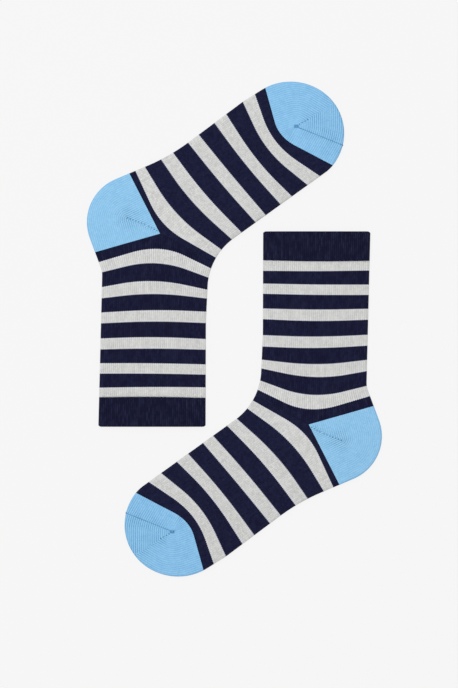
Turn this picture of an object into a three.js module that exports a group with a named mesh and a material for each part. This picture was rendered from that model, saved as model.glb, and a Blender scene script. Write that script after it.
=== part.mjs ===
// A pair of child's crew socks, pressed flat and laid side by side, one turned half round
// from the other. Sizes are in millimetres and Z points up from the surface they lie on.
// A sock is drawn in its own frame: its cuff edge lies on y = 0 with its middle at x = 0,
// the leg runs up +Y, the back of the leg is on the -X side and the foot points to +X.
import * as THREE from "three";
import { mergeVertices } from "three/addons/utils/BufferGeometryUtils.js";

// Sizes of the cloth. A zone's two layers lie on each other with a thin gap between them.
const layerThickness = { cuff: 1.5, leg: 1.25, heel: 1.35, foot: 1.25, toe: 1.35 };
const insideGap = 0.4; // along the folds
const foldRadius = 1.6; // how far the rounding of a pressed edge reaches inwards
const crownHeight = 0.5; // the upper layer rises this much over the middle of the sock
const crownReach = 18; // from the outline to where it has risen all the way
const zoneGap = 0.3; // between two knitted zones
const goreSetBack = 0.24; // gives the same gap where three zones meet at a point
const ribsAcross = 54; // on one face of a sock knitted on 108 needles
const ribHeight = 0.25;
const pairCentre = { x: 53.5, y: 63.5 }; // in a sock's frame: the two are turned about it

// How finely the faces are divided
const foldSteps = { outside: 3, inside: 1 };
const plainColumns = 16;
const ribbedInsideColumns = 8;
const pocketRings = 3;
const outlineSamples = 600;
const halvings = 24; // closes in on a place along a spoke
const leastEdge = 1e-4; // a triangle with a shorter side has shrunk to a line
const joinDistance = 1e-3; // points nearer than this are one

// Corners of the outline before they are rounded: up the back of the leg, round the heel,
// along the sole, round the toe, and back along the instep and down the front of the leg.
const outlineCorners = [
  { corner: "cuff edge, back", x: -35, y: 0, radius: 0 },
  { corner: "back of leg", x: -33, y: 80.5, radius: 120 },
  { corner: "back of ankle", x: -32.5, y: 101, radius: 13.5 },
  { corner: "heel, back", x: -46.5, y: 138.5, radius: 30 },
  { corner: "heel, sole", x: -31, y: 158, radius: 30 },
  { corner: "arch", x: 11.5, y: 176, radius: 130 },
  { corner: "ball of foot", x: 59, y: 211.5, radius: 50 },
  { corner: "toe, sole side", x: 88.5, y: 230, radius: 36 },
  { corner: "toe, far side", x: 138, y: 204, radius: 33 },
  { corner: "instep", x: 117, y: 168.5, radius: 25 },
  { corner: "front of ankle", x: 37, y: 111, radius: 41 },
  { corner: "shin", x: 35, y: 67.5, radius: 63 },
  { corner: "cuff edge, front", x: 34.8, y: 0, radius: 0 },
];

// Courses of the knitting where the yarn changes. back and front are distances from the cuff
// edge along the back edge and the front edge. Between them a course follows two straight
// flanks that meet at a corner: lean is its place along the chord, arch its height over the
// chord, and round the share of each flank that is rounded off. The courses on both sides of
// the heel have their corner where its gore ends, and the heel is knitted between them.
const goreCorner = new THREE.Vector2(5.2, 125.5);
const cuffCourses = [
  { back: 0, front: 0, lean: 0.5, arch: 0, round: 0.6 },
  { back: 19, front: 18.6, lean: 0.5, arch: 0.7, round: 0.6 },
];
const legCourses = [
  { back: 19, front: 18.6, lean: 0.5, arch: 0.7, round: 0.6 },
  { back: 25.4, front: 25.7, lean: 0.5, arch: 0.5, round: 0.6 },
  { back: 34.6, front: 33.9, lean: 0.5, arch: 0.4, round: 0.6 },
  { back: 41.3, front: 40.5, lean: 0.5, arch: 0.5, round: 0.6 },
  { back: 50.3, front: 50.1, lean: 0.5, arch: 0.8, round: 0.6 },
  { back: 57.4, front: 57, lean: 0.5, arch: 1.4, round: 0.6 },
  { back: 67.3, front: 67.4, lean: 0.5, arch: 1.5, round: 0.6 },
  { back: 74.3, front: 74.9, lean: 0.5, arch: 1.8, round: 0.6 },
  { back: 83.5, front: 83.4, lean: 0.49, arch: 4, round: 0.6 },
  { back: 90.8, front: 89, lean: 0.48, arch: 6.7, round: 0.6 },
  { back: 100.5, front: 97, lean: 0.51, arch: 10.6, round: 0.57 },
  { back: 107.4, front: 103.2, lean: 0.54, arch: 14.1, round: 0.48 },
  { back: 114.2, front: 107.4, corner: goreCorner, round: 0.05 },
];
const footCourses = [
  { back: 180.1, front: 107.4, corner: goreCorner, round: 0.05 },
  { back: 184.2, front: 110.7, lean: 0.49, arch: -12.6, round: 0.42 },
  { back: 191, front: 117.2, lean: 0.5, arch: -7.4, round: 0.58 },
  { back: 202.6, front: 126.7, lean: 0.48, arch: -4.2, round: 0.6 },
  { back: 211.6, front: 134.5, lean: 0.49, arch: -2.4, round: 0.6 },
  { back: 223.2, front: 145.7, lean: 0.5, arch: -1.1, round: 0.6 },
  { back: 231.9, front: 153.8, lean: 0.5, arch: -0.5, round: 0.6 },
  { back: 244.6, front: 165.6, lean: 0.51, arch: -1.8, round: 0.6 },
  { back: 254.2, front: 174.7, lean: 0.53, arch: -3.9, round: 0.6 },
  { back: 267.7, front: 187.3, lean: 0.5, arch: -8.1, round: 0.53 },
  { back: 277.1, front: 197.2, lean: 0.48, arch: -11.4, round: 0.52 },
  { back: 284.9, front: 208.1, lean: 0.45, arch: -14.5, round: 0.31 },
];

// A path of straight lines with a round arc in place of each corner that has a radius.
function roundedPath(corners) {
  const path = new THREE.Path();
  const points = corners.map((row) => new THREE.Vector2(row.x, row.y));
  path.moveTo(points[0].x, points[0].y);
  for (let i = 1; i < points.length - 1; i++) {
    const toBefore = points[i - 1].clone().sub(points[i]).normalize();
    const toAfter = points[i + 1].clone().sub(points[i]).normalize();
    const halfAngle = Math.acos(toBefore.dot(toAfter)) / 2;
    const bisector = toBefore.clone().add(toAfter).normalize();
    const radius = corners[i].radius;
    const centre = bisector.multiplyScalar(radius / Math.sin(halfAngle)).add(points[i]);
    const reach = radius / Math.tan(halfAngle);
    const arcStart = toBefore.clone().multiplyScalar(reach).add(points[i]).sub(centre);
    const arcEnd = toAfter.clone().multiplyScalar(reach).add(points[i]).sub(centre);
    const clockwise = toBefore.cross(toAfter) > 0;
    path.lineTo(centre.x + arcStart.x, centre.y + arcStart.y);
    path.absarc(centre.x, centre.y, radius, arcStart.angle(), arcEnd.angle(), clockwise);
  }
  const last = points[points.length - 1];
  path.lineTo(last.x, last.y);
  return path;
}

const outline = roundedPath(outlineCorners);
const outlineLength = outline.getLength();
const outlinePoints = outline.getSpacedPoints(outlineSamples);

function backPoint(distance) {
  return outline.getPoint(distance / outlineLength);
}

function frontPoint(distance) {
  return outline.getPoint(1 - distance / outlineLength);
}

// How far a point lies inside the outline.
function depthInside(point) {
  let least = Infinity;
  for (let i = 1; i < outlinePoints.length; i++) {
    const start = outlinePoints[i - 1];
    const along = outlinePoints[i].clone().sub(start);
    const offset = point.clone().sub(start);
    const share = THREE.MathUtils.clamp(offset.dot(along) / along.lengthSq(), 0, 1);
    least = Math.min(least, offset.sub(along.multiplyScalar(share)).length());
  }
  return least;
}

function archedCorner(back, front, row) {
  const chord = front.clone().sub(back);
  const across = new THREE.Vector2(-chord.y, chord.x).normalize();
  return back.clone().addScaledVector(chord, row.lean).addScaledVector(across, row.arch);
}

// The corner of a zone that ends at the gore stands back from it, as its edge does.
function besideGore(oneEnd, otherEnd) {
  const middle = oneEnd.clone().add(otherEnd).multiplyScalar(0.5);
  const inwards = middle.sub(goreCorner).normalize();
  return goreCorner.clone().addScaledVector(inwards, goreSetBack);
}

// The curve of one course from the back edge to the front edge.
function coursePath(row) {
  const back = backPoint(row.back);
  const front = frontPoint(row.front);
  const corner = row.corner ? besideGore(back, front) : archedCorner(back, front, row);
  const roundStart = corner.clone().lerp(back, row.round);
  const roundEnd = corner.clone().lerp(front, row.round);
  const path = new THREE.Path();
  path.moveTo(back.x, back.y);
  path.lineTo(roundStart.x, roundStart.y);
  path.quadraticCurveTo(corner.x, corner.y, roundEnd.x, roundEnd.y);
  path.lineTo(front.x, front.y);
  return path;
}

// The same row moved along both edges.
function shifted(row, distance) {
  return { ...row, back: row.back + distance, front: row.front + distance };
}

// A zone's first and last courses stand back from its neighbours by half of the gap.
function withGaps(rows, gapAtStart, gapAtEnd) {
  const first = shifted(rows[0], gapAtStart ? zoneGap / 2 : 0);
  const last = shifted(rows[rows.length - 1], gapAtEnd ? -zoneGap / 2 : 0);
  return [first, ...rows.slice(1, -1), last];
}

// The leg is nearly straight, so its faces need only half of its courses.
function everySecond(rows) {
  return rows.filter((_, i) => i % 2 === 0);
}

// Distances from a fold's edge to where the cloth lies flat, at even steps of its rounding.
function foldInsets(reach, steps) {
  const insets = [];
  for (let i = 0; i <= steps; i++) {
    insets.push(reach * (1 - Math.cos(((Math.PI / 2) * i) / steps)));
  }
  return insets;
}

// Shares along a course: the steps of the fold at each end and the given ones between.
function sharesAcross(length, face) {
  const insets = foldInsets(foldRadius, face.steps).map((inset) => inset + face.margin);
  const start = insets.map((inset) => inset / length);
  return [...start, ...face.between, ...start.map((share) => 1 - share).reverse()];
}

// Even shares of a whole, without its ends and without as many more as the folds take up.
function evenShares(count, taken = 0) {
  const shares = [];
  for (let i = 1 + taken; i < count - taken; i++) {
    shares.push(i / count);
  }
  return shares;
}

// Height of the outer faces over or under the middle of the fold.
function outerHeight(depth, half) {
  const share = THREE.MathUtils.clamp(1 - depth / foldRadius, 0, 1);
  return half * Math.sqrt(1 - share * share);
}

// Height of the inner faces over or under the middle: they meet where the cloth folds.
function innerHeight(depth, thickness) {
  return (insideGap / 2) * THREE.MathUtils.smoothstep(depth, thickness, thickness + foldRadius);
}

// How much higher the upper layer lies away from the folds.
function crown(depth) {
  return crownHeight * THREE.MathUtils.smoothstep(depth, 0, crownReach);
}

// Points of one face of a tube, row by row, with the height of each found from its depth.
// A face has its margin to the outline, its steps round a fold and its shares in between.
function tubeFace(rows, face) {
  return rows.map((row) => {
    const path = coursePath(row);
    const shares = sharesAcross(path.getLength(), face);
    return shares.map((share, column) => {
      const point = path.getPoint(share);
      const onFold = column === 0 || column === shares.length - 1;
      const depth = onFold ? face.margin : depthInside(point);
      return new THREE.Vector3(point.x, point.y, face.heightAt(depth, share));
    });
  });
}

// Points of one face of a pocket. A spoke runs from each place on its mouth to the outline,
// or to where it comes within the margin of the outline.
function pocketFace(mouth, rim, face) {
  const shares = sharesAcross(mouth.getLength(), face);
  const columns = shares.map((share, column) => {
    const start = mouth.getPoint(share);
    const onFold = column === 0 || column === shares.length - 1;
    const end = onFold ? start : spokeEnd(start, rim(share), face.margin);
    const fold = Math.min(foldRadius / Math.max(start.distanceTo(end), foldRadius), 0.5);
    const rings = [0, ...evenShares(pocketRings)].map((ring) => ring * (1 - fold));
    const rounding = foldInsets(fold, face.steps).map((inset) => 1 - inset).reverse();
    return [...rings, ...rounding].map((along) => {
      const point = start.clone().lerp(end, along);
      const depth = onFold || along === 1 ? face.margin : depthInside(point);
      return new THREE.Vector3(point.x, point.y, face.heightAt(depth, share));
    });
  });
  return columns[0].map((_, row) => columns.map((column) => column[row]));
}

// The last point of a spoke that keeps the margin to the outline.
function spokeEnd(start, end, margin) {
  let low = 0;
  let high = 1;
  for (let i = 0; i < halvings; i++) {
    const middle = (low + high) / 2;
    if (depthInside(start.clone().lerp(end, middle)) >= margin) {
      low = middle;
    } else {
      high = middle;
    }
  }
  return start.clone().lerp(end, margin > 0 ? low : 1);
}

// How far along a line each of its points lies, seen from above, as a share of the whole.
function runningShares(line) {
  const lengths = [0];
  for (let i = 1; i < line.length; i++) {
    const step = Math.hypot(line[i].x - line[i - 1].x, line[i].y - line[i - 1].y);
    lengths.push(lengths[i - 1] + step);
  }
  return lengths.map((length) => length / lengths.at(-1));
}

// Collects triangles and leaves out those that have shrunk to a line.
class Skin {
  constructor() {
    this.positions = [];
  }

  triangle(a, b, c) {
    const shortest = Math.min(a.distanceTo(b), b.distanceTo(c), c.distanceTo(a));
    if (shortest < leastEdge) {
      return;
    }
    for (const point of [a, b, c]) {
      this.positions.push(point.x, point.y, point.z);
    }
  }

  // Two triangles for each cell of a face, seen from above or from below.
  face(grid, facesUp) {
    for (let r = 1; r < grid.length; r++) {
      for (let c = 1; c < grid[r].length; c++) {
        const [a, b] = [grid[r - 1][c - 1], grid[r - 1][c]];
        const [d, e] = [grid[r][c - 1], grid[r][c]];
        if (facesUp) {
          this.triangle(a, b, e);
          this.triangle(a, e, d);
        } else {
          this.triangle(a, e, b);
          this.triangle(a, d, e);
        }
      }
    }
  }

  // The cut edge of the cloth between a lower and an upper line with their own steps.
  cutEdge(lower, upper, facesBack) {
    const lowerShares = runningShares(lower);
    const upperShares = runningShares(upper);
    let i = 0;
    let j = 0;
    while (i < lower.length - 1 || j < upper.length - 1) {
      const lowerNext = lowerShares[i + 1] ?? Infinity;
      const upperNext = upperShares[j + 1] ?? Infinity;
      const corners = [lower[i], upper[j]];
      if (lowerNext <= upperNext) {
        i += 1;
        corners.splice(1, 0, lower[i]);
      } else {
        j += 1;
        corners.splice(1, 0, upper[j]);
      }
      if (!facesBack) {
        corners.reverse();
      }
      this.triangle(...corners);
    }
  }

  geometry() {
    const loose = new THREE.BufferGeometry();
    loose.setAttribute("position", new THREE.Float32BufferAttribute(this.positions, 3));
    const joined = mergeVertices(loose, joinDistance);
    joined.computeVertexNormals();
    return joined;
  }
}

// The wall of a zone: outer and inner faces, and the cut edge at each open end.
function wallGeometry(faces, openAtEnd) {
  const skin = new Skin();
  skin.face(faces.outerTop, true);
  skin.face(faces.innerTop, false);
  skin.face(faces.innerBottom, true);
  skin.face(faces.outerBottom, false);
  skin.cutEdge(faces.innerTop[0], faces.outerTop[0], true);
  skin.cutEdge(faces.outerBottom[0], faces.innerBottom[0], true);
  if (openAtEnd) {
    skin.cutEdge(faces.innerTop.at(-1), faces.outerTop.at(-1), false);
    skin.cutEdge(faces.outerBottom.at(-1), faces.innerBottom.at(-1), false);
  }
  return skin.geometry();
}

// The four faces of a zone, each made by the given function.
function zoneFaces(thickness, ribbed, makeFace) {
  const half = thickness + insideGap / 2;
  const plain = evenShares(plainColumns);
  const outside = { margin: 0, steps: foldSteps.outside };
  const inside = { margin: thickness, steps: foldSteps.inside };
  inside.between = ribbed ? evenShares(ribbedInsideColumns) : plain;
  const ribTop = (depth, share) => {
    const onRidge = Math.round(share * ribsAcross * 2) % 2 === 1;
    return ribbed && onRidge && depth > foldRadius ? ribHeight : 0;
  };
  return {
    outerTop: makeFace({
      ...outside,
      between: ribbed ? evenShares(ribsAcross * 2, 2) : plain,
      heightAt: (depth, share) =>
        half + outerHeight(depth, half) + crown(depth) + ribTop(depth, share),
    }),
    outerBottom: makeFace({
      ...outside,
      between: plain,
      heightAt: (depth) => half - outerHeight(depth, half),
    }),
    innerTop: makeFace({
      ...inside,
      heightAt: (depth) => half + innerHeight(depth, thickness) + crown(depth - thickness),
    }),
    innerBottom: makeFace({
      ...inside,
      heightAt: (depth) => half - innerHeight(depth, thickness),
    }),
  };
}

function tubeGeometry(rows, thickness, ribbed) {
  return wallGeometry(zoneFaces(thickness, ribbed, (face) => tubeFace(rows, face)), true);
}

function pocketGeometry(mouth, rim, thickness) {
  return wallGeometry(zoneFaces(thickness, false, (face) => pocketFace(mouth, rim, face)), false);
}

// The heel is knitted between the last course of the leg and the first one of the foot. Its
// mouth runs from the leg's back edge to the corner of the gore and on to the sole.
function heelGeometry() {
  const from = legCourses.at(-1).back + zoneGap / 2;
  const to = footCourses[0].back - zoneGap / 2;
  const back = backPoint(from);
  const sole = backPoint(to);
  const gore = besideGore(back, sole);
  const mouth = new THREE.Path();
  mouth.moveTo(back.x, back.y);
  mouth.lineTo(gore.x, gore.y);
  mouth.lineTo(sole.x, sole.y);
  const rim = (share) => backPoint(THREE.MathUtils.lerp(from, to, share));
  return pocketGeometry(mouth, rim, layerThickness.heel);
}

// The toe closes the foot: its mouth is the last course and its rim goes round the tip.
function toeGeometry() {
  const mouthRow = shifted(footCourses.at(-1), zoneGap / 2);
  const from = mouthRow.back;
  const to = outlineLength - mouthRow.front;
  const rim = (share) => backPoint(THREE.MathUtils.lerp(from, to, share));
  return pocketGeometry(coursePath(mouthRow), rim, layerThickness.toe);
}

const navyKnit = { color: 0x1a1d32, roughness: 0.95, metalness: 0 };
const blueKnit = { color: 0x8ac1e7, roughness: 0.95, metalness: 0 };

function buildSock(name) {
  const sock = new THREE.Group();
  const add = (zone, geometry, look) => {
    const mesh = new THREE.Mesh(geometry, new THREE.MeshStandardMaterial(look));
    mesh.name = `${name}_${zone}`;
    sock.add(mesh);
  };
  const cuffRows = withGaps(cuffCourses, false, true);
  const legRows = withGaps(everySecond(legCourses), true, true);
  const footRows = withGaps(footCourses, true, true);
  add("cuff", tubeGeometry(cuffRows, layerThickness.cuff, true), navyKnit);
  add("leg", tubeGeometry(legRows, layerThickness.leg, true), navyKnit);
  add("heel", heelGeometry(), blueKnit);
  add("foot", tubeGeometry(footRows, layerThickness.foot, false), navyKnit);
  add("toe", toeGeometry(), blueKnit);
  return sock;
}

const pair = new THREE.Group();
const firstSock = buildSock("left_sock");
firstSock.position.set(-pairCentre.x, -pairCentre.y, 0);
const secondSock = buildSock("right_sock");
secondSock.position.set(pairCentre.x, pairCentre.y, 0);
secondSock.rotation.z = Math.PI;
pair.add(firstSock, secondSock);

export default pair;
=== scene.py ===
import math

import bpy
import numpy as np
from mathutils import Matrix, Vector


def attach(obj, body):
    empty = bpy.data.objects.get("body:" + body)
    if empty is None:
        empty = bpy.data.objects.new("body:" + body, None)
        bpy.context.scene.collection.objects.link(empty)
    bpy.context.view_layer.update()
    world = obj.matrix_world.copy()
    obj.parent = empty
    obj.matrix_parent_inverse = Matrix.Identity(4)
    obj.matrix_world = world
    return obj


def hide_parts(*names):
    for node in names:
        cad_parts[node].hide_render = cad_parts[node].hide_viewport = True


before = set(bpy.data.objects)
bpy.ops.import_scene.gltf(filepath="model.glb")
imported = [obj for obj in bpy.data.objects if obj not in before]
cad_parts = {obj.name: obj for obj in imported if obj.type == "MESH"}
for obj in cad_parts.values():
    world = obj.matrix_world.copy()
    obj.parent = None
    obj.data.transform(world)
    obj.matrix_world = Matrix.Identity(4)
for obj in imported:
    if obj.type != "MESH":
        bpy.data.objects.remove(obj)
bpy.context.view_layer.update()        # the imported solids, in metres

mm = 0.001        # shapes are worked out in millimetres, in the frame of one sock

# A sock's frame: cuff edge on y = 0, leg up +y with its back on the -x side, foot towards +x.
sockShape = {
    "pairCentre": (53.5, 63.5),        # the second sock is the first one turned about this
    "goreCorner": (5.2, 125.5),        # where the heel's two edges meet
    "cuffCorner": 1.3,        # rounding of the cuff's two corners
    "outlineStep": 0.4,
    "outline": [        # x, y, radius: up the back, round heel and toe, down the front
        (-35, 0, 0), (-33, 80.5, 120), (-32.5, 101, 13.5),        # back of the leg
        (-46.5, 138.5, 30), (-31, 158, 30),        # heel
        (11.5, 176, 130), (59, 211.5, 50),        # sole
        (88.5, 230, 36), (138, 204, 33),        # toe
        (117, 168.5, 25), (37, 111, 41),        # instep
        (35, 67.5, 63), (34.8, 0, 0),        # front of the leg
    ],
}


def unit(v):
    return v / np.linalg.norm(v)


def runningLength(line):
    return np.concatenate([[0], np.cumsum(np.linalg.norm(np.diff(line, axis=0), axis=1))])


def alongLine(line, run, places):
    return np.column_stack([np.interp(places, run, line[:, k]) for k in (0, 1)])


def roundedOutline(corners, step):
    points = [np.array(row[:2], float) for row in corners]
    line = [points[0]]
    leastPoints = 3        # on the arc of a corner
    for i in range(1, len(points) - 1):
        toBefore = unit(points[i - 1] - points[i])
        toAfter = unit(points[i + 1] - points[i])
        halfAngle = math.acos(toBefore @ toAfter) / 2
        radius = corners[i][2]
        centre = points[i] + unit(toBefore + toAfter) * radius / math.sin(halfAngle)
        reach = radius / math.tan(halfAngle)
        arm = points[i] + toBefore * reach - centre
        lastArm = points[i] + toAfter * reach - centre
        start = math.atan2(arm[1], arm[0])
        turn = math.atan2(lastArm[1], lastArm[0]) - start
        turn = (turn + math.pi) % (2 * math.pi) - math.pi
        count = max(leastPoints, int(radius * abs(turn) / step))
        for angle in start + np.linspace(0, turn, count):
            line.append(centre + radius * np.array((math.cos(angle), math.sin(angle))))
    line.append(points[-1])
    line = np.array(line)
    run = runningLength(line)
    return alongLine(line, run, np.linspace(0, run[-1], int(run[-1] / step)))


edgeLine = roundedOutline(sockShape["outline"], sockShape["outlineStep"])
edgeRun = runningLength(edgeLine)
goreCorner = np.array(sockShape["goreCorner"])


def backPoints(distances):
    return alongLine(edgeLine, edgeRun, np.atleast_1d(distances))


def frontPoints(distances):
    return alongLine(edgeLine, edgeRun, edgeRun[-1] - np.atleast_1d(distances))


def depthInside(points):        # how far each point lies inside the outline
    flat = points.reshape(-1, 2)
    depth = np.empty(len(flat))
    blockSize = 4000
    for start in range(0, len(flat), blockSize):
        block = flat[start:start + blockSize]
        gap = ((block[:, None, :] - edgeLine[None, :, :]) ** 2).sum(axis=2)
        near = np.clip(gap.argmin(axis=1), 1, len(edgeLine) - 2)
        best = np.full(len(block), np.inf)
        for side in (-1, 0):
            a, b = edgeLine[near + side], edgeLine[near + side + 1]
            share = ((block - a) * (b - a)).sum(axis=1) / ((b - a) ** 2).sum(axis=1)
            nearest = a + np.clip(share, 0, 1)[:, None] * (b - a)
            best = np.minimum(best, np.linalg.norm(block - nearest, axis=1))
        depth[start:start + blockSize] = best
    return depth.reshape(points.shape[:2])


# Courses where the yarn changes: distances from the cuff along the back and the front edge,
# then where between them the course has its corner (lean), how far the corner stands off
# the straight line (arch) and how much of each flank is rounded.
courseTable = {
    "leg": [
        (0, 0, 0.5, 0, 0.6), (19, 18.6, 0.5, 0.74, 0.6),
        (25.4, 25.65, 0.5, 0.46, 0.6), (34.6, 33.9, 0.5, 0.44, 0.6),
        (41.3, 40.5, 0.5, 0.48, 0.6), (50.3, 50.1, 0.5, 0.83, 0.6),
        (57.4, 57, 0.5, 1.45, 0.6), (67.25, 67.45, 0.5, 1.5, 0.6),
        (74.3, 74.85, 0.5, 1.75, 0.6), (83.5, 83.4, 0.49, 4.03, 0.6),
        (90.8, 89.05, 0.48, 6.7, 0.6), (100.45, 97, 0.51, 10.6, 0.57),
        (107.4, 103.25, 0.54, 14.1, 0.48), (114.25, 107.4, "gore", 0, 0),
    ],
    "foot": [
        (180.05, 107.4, "gore", 0, 0), (184.2, 110.7, 0.49, -12.6, 0.42),
        (191, 117.2, 0.5, -7.4, 0.58), (202.55, 126.7, 0.48, -4.25, 0.6),
        (211.55, 134.5, 0.49, -2.42, 0.6), (223.25, 145.7, 0.5, -1.06, 0.6),
        (231.9, 153.8, 0.5, -0.5, 0.6), (244.6, 165.65, 0.51, -1.77, 0.6),
        (254.25, 174.7, 0.53, -3.93, 0.6), (267.7, 187.3, 0.5, -8.08, 0.53),
        (277.1, 197.2, 0.48, -11.44, 0.52), (284.9, 208.15, 0.451, -14.45, 0.31),
    ],
}


def courseRows(table):        # the rows as numbers, the gore's corner as lean and arch
    rows = []
    for back, front, lean, arch, rounding in table:
        if lean == "gore":
            a, b = backPoints(back)[0], frontPoints(front)[0]
            along = b - a
            across = unit(np.array((-along[1], along[0])))
            lean = (goreCorner - a) @ along / (along @ along)
            arch = (goreCorner - a) @ across
        rows.append((back, front, lean, arch, rounding))
    return np.array(rows)


def courseLine(rows, distance):        # one course as a fine line from the back to the front
    front, lean, arch, rounding = (np.interp(distance, rows[:, 0], rows[:, k]) for k in range(1, 5))
    a, b = backPoints(distance)[0], frontPoints(front)[0]
    along = b - a
    corner = a + along * lean + unit(np.array((-along[1], along[0]))) * arch
    bendStart = corner + (a - corner) * rounding
    bendEnd = corner + (b - corner) * rounding
    bendPoints = 40
    t = np.linspace(0, 1, bendPoints)[:, None]
    bend = (1 - t) ** 2 * bendStart + 2 * t * (1 - t) * corner + t ** 2 * bendEnd
    return np.vstack([a, bend, b])


# The pressed cloth of every zone.
cloth = {
    "waleCount": 54,        # on one face, knitted on 108 needles
    "courseHeight": 0.95,        # of one row of stitches
    "insideGap": 0.4,
    "foldRadius": 1.6,        # rounding of the pressed edges
    "foldSteps": 6, "innerFoldSteps": 2, "innerFoldShare": 0.07,
    "crownHeight": 0.5,        # the upper layer rises this much over the middle
    "crownReach": 18.0,
    "ridgeRoundness": 2.4,
    "reliefFrom": 0.3, "reliefTo": 2.2,        # the ribs start this far in from the fold
    "underRelief": 0.7,        # the underside's ribs are lower
    "topPoints": 4, "underPoints": 2,        # columns of points for each wale
    "innerRows": 8,
    "yarnEnd": 0.1,        # the first and last yarn run past the zone's ends by this much of a stripe
}

# What the press left: low waves, and soft troughs with middle, direction, length, width and depth.
pressing = {
    "waveHeight": 0.05, "waveAcross": 9, "waveAlong": 11, "waveStart": 1.1,
    "bend": 0.6, "bendLength": 13,
    "creases": [
        (24, 112, 118, 34, 7, 0.16), (14, 101, 128, 26, 6, 0.1),
        (-8, 96, 80, 30, 9, 0.08), (52, 160, 20, 46, 12, 0.12),
        (74, 176, 48, 40, 10, 0.1), (-2, 46, 96, 52, 14, 0.12),
        (10, 66, 84, 40, 10, 0.08), (30, 148, 140, 30, 8, 0.08),
    ],
}


def smooth(value, low, high):
    t = np.clip((value - low) / (high - low), 0, 1)
    return t * t * (3 - 2 * t)


def foldInsets(margin):        # the rounded fold's points, as distances in from its edge
    steps = cloth["innerFoldSteps"] if margin else cloth["foldSteps"]
    return cloth["foldRadius"] * (1 - np.cos(np.linspace(0, math.pi / 2, steps + 1)))


def softForm(points):
    x, y = points[..., 0], points[..., 1]
    bend = pressing["bend"] * np.sin(y / pressing["bendLength"])
    across = np.sin(x / pressing["waveAcross"] + bend)
    height = pressing["waveHeight"] * across * np.sin(y / pressing["waveAlong"] + pressing["waveStart"])
    for cx, cy, angle, length, width, depth in pressing["creases"]:
        a = math.radians(angle)
        along = (x - cx) * math.cos(a) + (y - cy) * math.sin(a)
        across = (y - cy) * math.cos(a) - (x - cx) * math.sin(a)
        height = height - depth * np.exp(-(along / length * 2) ** 2 - (across / width * 2) ** 2)
    return height


def ridge(wale):        # round ridges with narrow valleys, one for each wale
    return 1 - np.abs(2 * (wale % 1) - 1) ** cloth["ridgeRoundness"]


def halfHeight(part):
    return part["thickness"] + cloth["insideGap"] / 2


def roundedFold(depth):        # 0 on the fold's edge, 1 where it ends
    share = np.clip(1 - depth / cloth["foldRadius"], 0, 1)
    return np.sqrt(1 - share ** 2)


def outerTop(points, depth, wale, clear, part):
    crown = cloth["crownHeight"] * smooth(depth, 0, cloth["crownReach"])
    relief = part["ribHeight"] * ridge(wale) * clear + softForm(points)
    away = smooth(depth, cloth["reliefFrom"], cloth["reliefTo"])
    return halfHeight(part) * (1 + roundedFold(depth)) + crown + relief * away


def outerBottom(points, depth, wale, clear, part):        # pressed flat on the surface
    valley = part["ribHeight"] * cloth["underRelief"] * (1 - ridge(wale)) * clear
    away = smooth(depth, cloth["reliefFrom"], cloth["reliefTo"])
    return halfHeight(part) * (1 - roundedFold(depth)) + valley * away


def innerHeight(depth, part, upper):
    inside = np.maximum(depth - part["thickness"], 0)
    apart = cloth["insideGap"] / 2 * smooth(inside, 0, cloth["foldRadius"])
    crown = cloth["crownHeight"] * smooth(inside, 0, cloth["crownReach"])
    return halfHeight(part) + apart + crown if upper else halfHeight(part) - apart


def cornerInset(distance):        # the cuff's corners are a little rounded
    corner = sockShape["cuffCorner"]
    fromCorner = max(corner - distance, 0)
    return corner - math.sqrt(corner ** 2 - fromCorner ** 2)


def tubePlaces(part, rowCount, columns, margin):        # points and shares of one face of a tube
    rows = courseRows(courseTable[part["table"]])
    insets = foldInsets(margin) + margin
    even = np.arange(columns + 1) / columns
    clearOf = cloth["innerFoldShare"] if margin else part["foldShare"]        # left to the fold
    distances = np.linspace(part["from"], part["to"], rowCount + 1)
    points, shares = [], []
    for distance in distances:
        line = courseLine(rows, distance)
        run = runningLength(line)
        fold = (insets + cornerInset(distance)) / run[-1]
        kept = even[(even > clearOf) & (even < 1 - clearOf)]
        share = np.concatenate([fold, kept, 1 - fold[::-1]])
        points.append(alongLine(line, run, share * run[-1]))
        shares.append(share)
    return np.array(points), np.array(shares), distances


# The outer and inner faces of a zone, above and below. "tone" goes to the yarn map: the number
# of the stripe on a tube, and how clearly the rows show on a pocket.
def tubeGrids(part):
    topColumns = cloth["waleCount"] * cloth["topPoints"]
    underColumns = cloth["waleCount"] * cloth["underPoints"]
    changes = courseRows(courseTable[part["table"]])[:, 0]
    lastStripe = len(changes) - 1
    grids = []
    for side, rowCount, columns, margin in (
        ("outerTop", part["rows"], topColumns, 0),
        ("outerBottom", part["rows"], underColumns, 0),
        ("innerTop", cloth["innerRows"], topColumns, part["thickness"]),
        ("innerBottom", cloth["innerRows"], underColumns, part["thickness"]),
    ):
        points, shares, distances = tubePlaces(part, rowCount, columns, margin)
        drawnIn = np.array([cornerInset(distance) for distance in distances])[:, None]
        depth = np.maximum(depthInside(points) - drawnIn, margin)
        depth[:, [0, -1]] = margin        # the first and last columns lie on the fold
        stripe = np.interp(distances, changes, np.arange(len(changes)))        # whole at each change
        stripe = np.clip(stripe, cloth["yarnEnd"], lastStripe - cloth["yarnEnd"])
        course = distances / cloth["courseHeight"]
        wide = np.ones((1, shares.shape[1]))
        grids.append({
            "side": side, "points": points, "depth": depth, "shares": shares,
            "wale": shares * cloth["waleCount"],
            "course": course[:, None] * wide, "tone": stripe[:, None] * wide,
        })
    return grids


def spokeEnds(starts, ends, margin):        # where each spoke comes within the margin of the edge
    low, high = np.zeros(len(starts)), np.ones(len(starts))
    halvings = 18
    for _ in range(halvings):
        middle = (low + high) / 2
        inside = depthInside((starts + (ends - starts) * middle[:, None])[None])[0] >= margin
        low, high = np.where(inside, middle, low), np.where(inside, high, middle)
    return starts + (ends - starts) * low[:, None]


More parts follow.
